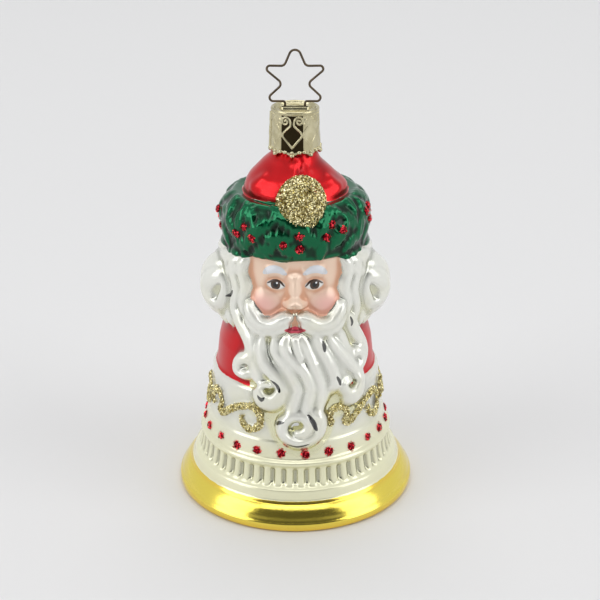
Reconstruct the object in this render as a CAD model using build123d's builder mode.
"""A blown-glass bell ornament: a bearded winter head over a bell skirt, a stamped crown cap, a wire
star hanger, and a clapper that hangs inside the bell.  Millimetres, +Z up, the face looks along -Y.
The origin is at the centre of the rim's foot, where the bell stands.
"""

import os
from math import cos, radians, sin

from build123d import *

os.makedirs("parts", exist_ok=True)

# ---- driving dimensions -------------------------------------------------------------------------
RIM_R = 31.0  # widest radius, on the gold rim
FOOT_R = 30.3  # outer radius of the flat ring that the bell stands on
WALL = 1.2  # glass thickness
HEM_Z = 34.4  # lower edge of the coat
HEM_R = 20.4  # radius of the coat at its hem
STEP_Z = 21.7  # the thin step between the scroll band and the dot band
STEP_R = 22.8
BRIM_Z = 74.0  # middle of the leafy brim
BRIM_R = 18.9  # outer radius of the brim
NECK_R = 5.1  # outside of the glass neck
NECK_BORE_R = 4.2
NECK_TOP_Z = 98.9
SHOULDER_Z = 90.3  # where the neck leaves the hat
CAP_TOP_Z = 101.75  # top of the cap's rolled edge
CAP_LOW_Z = 91.6  # lower edge of the cap's sleeve
STAR_WIRE_R = 0.28

# ---- outside and inside of the glass, as (radius, height) ---------------------------------------
SKIRT_OUTSIDE = [
    (FOOT_R, 0),
    (RIM_R, 0.9),
    (RIM_R, 2.4),
    (28.0, 6.2),
    (27.5, 6.9),
    (27.2, 7.5),
    (26.6, 9.8),
    (25.4, 10.3),
    (24.5, 15.0),
    (25.0, 15.6),
    (24.8, 16.5),
    (23.9, 17.4),
    (STEP_R, STEP_Z - 0.4),
    (STEP_R + 0.2, STEP_Z + 0.3),
    (21.6, 29.5),
    (21.4, HEM_Z - 0.7),
    (HEM_R, HEM_Z + 0.2),
]
CHEST_OUTSIDE = [(19.9, 40.5), (18.5, 46.5), (17.8, 50.0)]
HEAD_OUTSIDE = [(18.5, 56.0), (18.4, 62.0), (17.7, 67.6)]
BRIM_OUTSIDE = [
    (18.3, 69.6),
    (18.8, 72.0),
    (BRIM_R, BRIM_Z),
    (18.7, 76.0),
    (18.1, 78.2),
    (16.8, 80.0),
    (15.0, 80.9),
    (13.2, 80.9),
]
HAT_OUTSIDE = [(12.3, 82.5), (10.9, 85.2), (8.6, 87.7), (6.9, 89.3), (NECK_R, SHOULDER_Z)]

SKIRT_INSIDE = [(29.0, 0), (28.6, 2.6), (25.9, 6.6), (24.3, 10.5), (22.9, 16.0), (21.4, 21.5), (20.2, 29.5)]
UPPER_INSIDE = [(19.0, 36.0), (17.9, 42.0), (16.7, 48.0), (16.9, 56.0), (16.5, 66.0)]
HAT_INSIDE = [(16.4, 78.0), (11.2, 81.5), (9.5, 84.8), (6.6, 87.9), (NECK_BORE_R, 90.6)]


def revolved(rings):
    """A closed body of revolution under a list of (radius, height) rings, with flat ends on the axis."""
    with BuildPart() as body:
        with BuildSketch(Plane.XZ):
            with BuildLine():
                Polyline((0, rings[0][1]), *rings, (0, rings[-1][1]), close=True)
            make_face()
        revolve(axis=Axis.Z)
    return body.part


def on_glass(azimuth, radius, height):
    """A point on the glass. Azimuth 0 is the front, in degrees, and grows towards +X."""
    a = radians(azimuth)
    return (radius * sin(a), -radius * cos(a), height)


# ---- glass_bell: one blown shell with neck, hat, brim, head, hair, beard, coat and skirt --------
POMPOM_AT = (1.5, -13.2, 82.0)
POMPOM_R = 5.8
PUFF_AT = (16.2, 0.6, 55.3)  # the big side curls of the hair
PUFF_R = 7.0
NOSE_AT = (0, -17.6, 58.0)
NOSE_R = 2.2
RELIEF = 1.9  # how far beard and moustache stand out of the body
BEARD_OUTLINE = [  # seen from the front, as (x, height)
    (-14.5, 51.0),
    (-12.2, 45.0),
    (-12.0, 39.0),
    (-6.5, 32.0),
    (-5.5, 25.0),
    (5.5, 25.0),
    (9.0, 31.5),
    (12.5, 34.0),
    (14.0, 41.0),
    (14.5, 51.0),
]
CURLS = [  # x, height and radius of the beard's curled ends
    (-12.6, 39.3, 2.8),
    (-6.2, 34.8, 3.4),
    (0.0, 25.4, 6.2),
    (12.2, 34.0, 3.0),
    (14.4, 41.0, 2.8),
]
MOUSTACHE = [(4.2, 50.6, 3.2), (8.0, 51.8, 2.6), (11.0, 53.6, 2.0)]

BODY_OUTSIDE = SKIRT_OUTSIDE + CHEST_OUTSIDE + HEAD_OUTSIDE + BRIM_OUTSIDE + HAT_OUTSIDE + [(NECK_R, NECK_TOP_Z)]

with BuildPart() as beard:
    with BuildSketch(Plane.XZ):
        with BuildLine():
            Polyline(*BEARD_OUTLINE, close=True)
        make_face()
        for x, height, curl_r in CURLS:
            with Locations((x, height)):
                Circle(curl_r)
    extrude(amount=RIM_R)
    add(revolved([(r + RELIEF, z) for r, z in BODY_OUTSIDE if 17 < z < 60]), mode=Mode.INTERSECT)

with BuildPart() as moustache:
    with BuildSketch(Plane.XZ):
        for side in (-1, 1):
            for x, height, lobe_r in MOUSTACHE:
                with Locations((side * x, height)):
                    Circle(lobe_r)
    extrude(amount=RIM_R)
    add(revolved([(r + 2 * RELIEF, z) for r, z in BODY_OUTSIDE if 40 < z < 60]), mode=Mode.INTERSECT)

with BuildPart() as outside:
    add(revolved(BODY_OUTSIDE))
    add(beard.part)
    add(moustache.part)
    for side in (-1, 1):
        with Locations((side * PUFF_AT[0], PUFF_AT[1], PUFF_AT[2])):
            Sphere(PUFF_R)
    with Locations(NOSE_AT):
        Sphere(NOSE_R)
    with Locations(POMPOM_AT):
        Sphere(POMPOM_R)

with BuildPart() as glass_bell:
    add(outside.part)
    add(revolved(SKIRT_INSIDE + UPPER_INSIDE + HAT_INSIDE + [(NECK_BORE_R, NECK_TOP_Z + 1)]), mode=Mode.SUBTRACT)
    for side in (-1, 1):
        with Locations((side * PUFF_AT[0], PUFF_AT[1], PUFF_AT[2])):
            Sphere(PUFF_R - WALL, mode=Mode.SUBTRACT)
    with Locations(POMPOM_AT):
        Sphere(POMPOM_R - WALL, mode=Mode.SUBTRACT)
glass_bell.part.label = "glass_bell"

# ---- glitter laid on the glass: pompom coat, berries, dots and scrolls --------------------------
GRAIN = 0.5  # thickness of a coat of glitter

with BuildPart() as pompom_glitter:
    with Locations(POMPOM_AT):
        Sphere(POMPOM_R + GRAIN)
    add(outside.part, mode=Mode.SUBTRACT)
pompom_glitter.part.label = "pompom_glitter"

BERRY_R = 0.95
BERRY_CLUSTERS = [-42, -1, 31, 74, 113, 152, 192, 232, 274]  # azimuths of the groups of three
BERRY_GROUP = [(-8, 18.8, 73.1), (0, 18.7, 75.9), (7, 18.8, 72.4)]  # azimuth in the group, radius, height
DOT_R = 1.05
DOT_COUNT = 24
DOT_Z = 18.4
DOT_RING_R = 23.55


def grains(points, grain_r):
    """Small domes of glitter that stand on the glass at the points, as separate solids."""
    with BuildPart() as domes:
        for point in points:
            with Locations(point):
                Sphere(grain_r)
        add(outside.part, mode=Mode.SUBTRACT)
    return domes.part


berry_points = [
    on_glass(cluster + azimuth, radius, height)
    for cluster in BERRY_CLUSTERS
    for azimuth, radius, height in BERRY_GROUP
]
holly_berries = grains(berry_points, BERRY_R)
holly_berries.label = "holly_berries"

dot_azimuths = [6 + 360 / DOT_COUNT * step for step in range(DOT_COUNT)]
skirt_dots = grains([on_glass(azimuth, DOT_RING_R, DOT_Z) for azimuth in dot_azimuths], DOT_R)
skirt_dots.label = "skirt_dots"

# Each scroll is a wave between two rolled ends, cut from a thin layer over the scroll band of the skirt.
SCROLL_AZIMUTHS = [46, 99.6, 153.2, 206.8, 260.4, 314]
SCROLL_Z = 26.6
SCROLL_WIDTH = 1.4
ROLL_R = 2.9
ROLL_X = 6.3  # from the middle of the scroll to the middle of a rolled end
ROLL_TURN = 270
SMALL_ROLL_R = 2.5
SMALL_ROLL_AT = (-6.6, 0.6)
FOOT_ANGLE = -40  # where the wave leaves the smaller roll

scroll_layer = revolved([(STEP_R + 0.2 + GRAIN, STEP_Z + 0.4), (21.6 + GRAIN, 29.5), (21.4 + GRAIN, HEM_Z - 0.8)])


def glitter_scroll(azimuth):
    """One scroll at that azimuth of the skirt."""
    a = radians(azimuth)
    seen_from_outside = Plane((0, 0, SCROLL_Z), x_dir=(cos(a), sin(a), 0), z_dir=(sin(a), -cos(a), 0))
    with BuildPart() as scroll:
        with BuildSketch(seen_from_outside):
            with BuildLine():
                small_roll = CenterArc(SMALL_ROLL_AT, SMALL_ROLL_R, FOOT_ANGLE, ROLL_TURN)
                CenterArc((ROLL_X, 0), ROLL_R, 90, -ROLL_TURN)
                Bezier(small_roll @ 0, (-3.2, -2.6), (1.6, ROLL_R), (ROLL_X, ROLL_R))
            trace(line_width=SCROLL_WIDTH)
        extrude(amount=RIM_R)
        add(scroll_layer, mode=Mode.INTERSECT)
        add(outside.part, mode=Mode.SUBTRACT)
    return scroll.part


scrolls = []
for number, azimuth in enumerate(SCROLL_AZIMUTHS, 1):
    scroll = glitter_scroll(azimuth)
    scroll.label = f"glitter_scroll_{number}"
    scrolls.append(scroll)

# ---- crown_cap: stamped sleeve with a rolled edge, a sunk top with a slot, and beads below ------
CAP_TOP_R = 5.75
CAP_LOW_R = 6.2
SHEET = 0.32
PLATE_TOP_Z = 100.95
SLOT = (6.4, 1.5)
LIP_HEIGHT = 0.9
BEAD_R = 0.6
BEAD_DROP = 0.5  # how much lower the middle bead of each three sits
MOTIFS = 8

with BuildPart() as crown_cap:
    with BuildSketch(Plane.XZ):
        with BuildLine():
            Polyline(
                (0, PLATE_TOP_Z),
                (CAP_TOP_R - 1.5, PLATE_TOP_Z),
                (CAP_TOP_R - 1.1, CAP_TOP_Z),
                (CAP_TOP_R - 0.3, CAP_TOP_Z),
                (CAP_TOP_R, CAP_TOP_Z - 0.4),
                (CAP_LOW_R, CAP_LOW_Z),
                (CAP_LOW_R - SHEET, CAP_LOW_Z),
                (CAP_TOP_R - SHEET, PLATE_TOP_Z - SHEET),
                (0, PLATE_TOP_Z - SHEET),
                close=True,
            )
        make_face()
    revolve(axis=Axis.Z)
    with BuildSketch(Plane.XY.offset(PLATE_TOP_Z - SHEET / 2)):
        RectangleRounded(SLOT[0] + 2 * SHEET, SLOT[1] + 2 * SHEET, 0.9)
    extrude(amount=LIP_HEIGHT + SHEET / 2)
    for motif in range(MOTIFS):
        for offset, drop in ((-13.5, 0), (0, BEAD_DROP), (13.5, 0)):
            azimuth = 360 / MOTIFS * motif + offset
            with Locations(on_glass(azimuth, CAP_LOW_R - 0.05, CAP_LOW_Z + 0.2 - drop)):
                Sphere(BEAD_R)
    with BuildSketch(Plane.XY.offset(PLATE_TOP_Z - 2 * SHEET)):
        RectangleRounded(*SLOT, 0.6)
    extrude(amount=LIP_HEIGHT + 3 * SHEET, mode=Mode.SUBTRACT)
crown_cap.part.label = "crown_cap"

# ---- star_hanger: one spring wire, bent to a star, with two legs in the neck --------------------
STAR_HALF = [  # x and height over the cap's top edge, from the slot up to the star's top
    (2.3, -0.9, 0.5),
    (2.5, 1.2, 0.5),
    (7.55, 1.2, 0.9),
    (2.95, 5.5, 1.1),
    (8.2, 10.0, 0.8),
    (2.6, 9.9, 1.2),
]
STAR_PEAK = (0, 15.95, 1.4)
LEG = [(2.6, -11.9, 0), (3.5, -10.4, 0.6), (3.5, -4.0, 0.8), (2.3, -2.4, 0.8)]

half = LEG + STAR_HALF
left_side = [(-x, height, r) for x, height, r in half]
star_route = left_side + [STAR_PEAK] + half[::-1]
star_points = [(x, 0, CAP_TOP_Z + height) for x, height, r in star_route]
star_radii = [r for x, height, r in star_route[1:-1]]

with BuildPart() as star_hanger:
    with BuildLine() as star_line:
        FilletPolyline(*star_points, radius=star_radii)
    with BuildSketch(Plane(star_line.line @ 0, z_dir=star_line.line % 0)):
        Circle(STAR_WIRE_R)
    sweep()
star_hanger.part.label = "star_hanger"

# ---- clapper: a crossbar over the neck, an oval link, a rod with an eye, a bead and two crimps --
BAR_WIRE_R = 0.25
BAR_DIP = 2.6
BAR_Z = NECK_TOP_Z + BAR_WIRE_R
bar_points = [
    (0, -4.8, BAR_Z),
    (0, -3.5, BAR_Z),
    (0, -2.2, BAR_Z - BAR_DIP),
    (0, 2.2, BAR_Z - BAR_DIP),
    (0, 3.5, BAR_Z),
    (0, 4.8, BAR_Z),
]
with BuildPart() as clapper_crossbar:
    with BuildLine() as bar_line:
        FilletPolyline(*bar_points, radius=0.6)
    with BuildSketch(Plane(bar_line.line @ 0, z_dir=bar_line.line % 0)):
        Circle(BAR_WIRE_R)
    sweep()
clapper_crossbar.part.label = "clapper_crossbar"

LINK_WIRE_R = 0.22
LINK_HALF_WIDTH = 0.9
LINK_LENGTH = 7.0
GAP = 0.04  # play between a loop and the wire that it hangs on
PIVOT_TOP_Z = BAR_Z - BAR_DIP
link_top_z = PIVOT_TOP_Z + BAR_WIRE_R + GAP + LINK_WIRE_R
link_low_z = link_top_z - LINK_LENGTH
with BuildPart() as clapper_link:
    with BuildLine() as link_line:
        low = (0, 0, link_low_z + LINK_HALF_WIDTH)
        high = (0, 0, link_top_z - LINK_HALF_WIDTH)
        right_low = (LINK_HALF_WIDTH, 0, low[2])
        right_high = (LINK_HALF_WIDTH, 0, high[2])
        left_low = (-LINK_HALF_WIDTH, 0, low[2])
        left_high = (-LINK_HALF_WIDTH, 0, high[2])
        Line(right_low, right_high)
        ThreePointArc(right_high, (0, 0, link_top_z), left_high)
        Line(left_high, left_low)
        ThreePointArc(left_low, (0, 0, link_low_z), right_low)
    with BuildSketch(Plane(right_low, z_dir=(0, 0, 1))):
        Circle(LINK_WIRE_R)
    sweep()
clapper_link.part.label = "clapper_link"

ROD_R = 0.3
EYE_R = 0.85  # from the eye's centre to the middle of its wire
BEAD_AT_Z = 14.0
CLAPPER_R = 4.5
CRIMP_R = 0.8
CRIMP_LENGTH = 1.2
eye_z = link_low_z + LINK_WIRE_R + GAP + ROD_R - EYE_R
rod_low_z = BEAD_AT_Z - CLAPPER_R - CRIMP_LENGTH
with BuildPart() as clapper_rod:
    with Locations(Location((0, 0, eye_z), (0, 90, 0))):
        Torus(EYE_R, ROD_R)
    with BuildSketch(Plane.XY.offset(rod_low_z)):
        Circle(ROD_R)
    extrude(amount=eye_z - EYE_R - rod_low_z)
clapper_rod.part.label = "clapper_rod"

with BuildPart() as clapper_bead:
    with Locations((0, 0, BEAD_AT_Z)):
        Sphere(CLAPPER_R)
        Cylinder(ROD_R + 0.02, 3 * CLAPPER_R, mode=Mode.SUBTRACT)
clapper_bead.part.label = "clapper_bead"

with BuildPart() as clapper_crimps:
    with Locations((0, 0, BEAD_AT_Z + CLAPPER_R + CRIMP_LENGTH / 2), (0, 0, rod_low_z + CRIMP_LENGTH / 2)):
        Cylinder(CRIMP_R, CRIMP_LENGTH)
        Cylinder(ROD_R + 0.01, 2 * CRIMP_LENGTH, mode=Mode.SUBTRACT)
clapper_crimps.part.label = "clapper_crimps"

# ---- hand the pieces over -----------------------------------------------------------------------
pieces = [
    glass_bell.part,
    pompom_glitter.part,
    holly_berries,
    skirt_dots,
    *scrolls,
    crown_cap.part,
    star_hanger.part,
    clapper_crossbar.part,
    clapper_link.part,
    clapper_rod.part,
    clapper_bead.part,
    clapper_crimps.part,
]
for piece in pieces:
    export_step(piece, f"parts/{piece.label}.step")
    print(piece.label, "solids", len(piece.solids()), "volume", round(piece.volume, 2))
